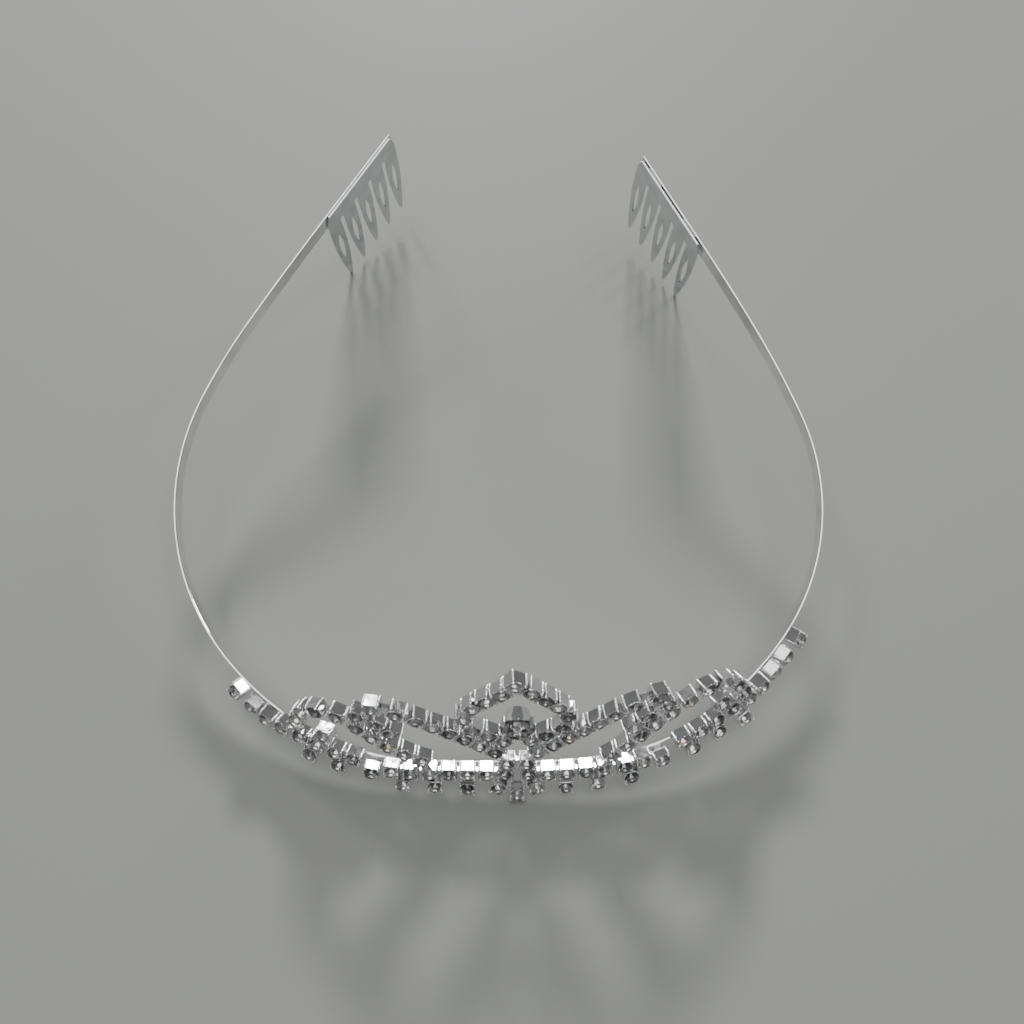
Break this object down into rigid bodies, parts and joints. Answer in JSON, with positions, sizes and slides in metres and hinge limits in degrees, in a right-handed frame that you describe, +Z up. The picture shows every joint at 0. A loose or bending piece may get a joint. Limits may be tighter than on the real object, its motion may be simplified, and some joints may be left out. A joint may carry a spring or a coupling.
{
  "type": "bridal tiara",
  "caption": "Bridal tiara: springy open band with a comb inside each end, and a scroll of square cups with round stones rising at the front.",
  "frame": {"origin": "middle of the footprint, on the surface the tiara stands on", "axes": "+X to the right as seen from the front, +Y to the back where the combs are, +Z up"},
  "size_m": [0.1348, 0.145, 0.0405],
  "materials": {
    "band_steel": "polished plated spring strip",
    "comb_steel": "polished plated stamped sheet",
    "cup_metal": "bright plated cast cups and links",
    "basket_metal": "bright plated basket",
    "solder": "plated over soft solder",
    "rhinestone": "clear faceted glass, foil backed",
    "large_stone": "clear faceted glass, foil backed"
  },
  "bodies": {
    "front": {"band_front": "band_steel", "centre_loop_left_cups": "cup_metal", "centre_loop_left_stones": "rhinestone", "centre_loop_right_cups": "cup_metal", "centre_loop_right_stones": "rhinestone", "chain_links": "cup_metal", "drops_left_cups": "cup_metal", "drops_left_stones": "rhinestone", "drops_right_cups": "cup_metal", "drops_right_stones": "rhinestone", "end_left_cups": "cup_metal", "end_left_stones": "rhinestone", "end_right_cups": "cup_metal", "end_right_stones": "rhinestone", "end_tabs": "cup_metal", "extra_left_cups": "cup_metal", "extra_left_stones": "rhinestone", "extra_right_cups": "cup_metal", "extra_right_stones": "rhinestone", "leaf_return_left_cups": "cup_metal", "leaf_return_left_stones": "rhinestone", "leaf_return_right_cups": "cup_metal", "leaf_return_right_stones": "rhinestone", "leaf_upper_left_cups": "cup_metal", "leaf_upper_left_stones": "rhinestone", "leaf_upper_right_cups": "cup_metal", "leaf_upper_right_stones": "rhinestone", "outer_loop_left_cups": "cup_metal", "outer_loop_left_stones": "rhinestone", "outer_loop_right_cups": "cup_metal", "outer_loop_right_stones": "rhinestone", "row_inner_left_cups": "cup_metal", "row_inner_left_stones": "rhinestone", "row_inner_right_cups": "cup_metal", "row_inner_right_stones": "rhinestone", "row_outer_left_cups": "cup_metal", "row_outer_left_stones": "rhinestone", "row_outer_right_cups": "cup_metal", "row_outer_right_stones": "rhinestone", "row_solder": "solder", "solitaire_basket": "basket_metal", "solitaire_stone": "large_stone", "stem_cups": "cup_metal", "stem_stones": "rhinestone", "trefoil_cups": "cup_metal", "trefoil_stones": "rhinestone"},
    "arm_left": {"band_arm_left": "band_steel", "comb_left": "comb_steel", "comb_solder_left": "solder"},
    "arm_right": {"band_arm_right": "band_steel", "comb_right": "comb_steel", "comb_solder_right": "solder"}
  },
  "joints": [
    {"name": "arm_left_flex", "type": "hinge", "parent": "front", "child": "arm_left", "pos_m": [-0.05596, -0.04348, 0.0087], "axis": [-0.0151, -0.1953, 0.9806], "range_deg": [-6, 15], "stiffness_Nm_per_rad": 0.17},
    {"name": "arm_right_flex", "type": "hinge", "parent": "front", "child": "arm_right", "pos_m": [0.06111, -0.03577, 0.01204], "axis": [0.0151, 0.1953, -0.9806], "range_deg": [-6, 15], "stiffness_Nm_per_rad": 0.17}
  ]
}
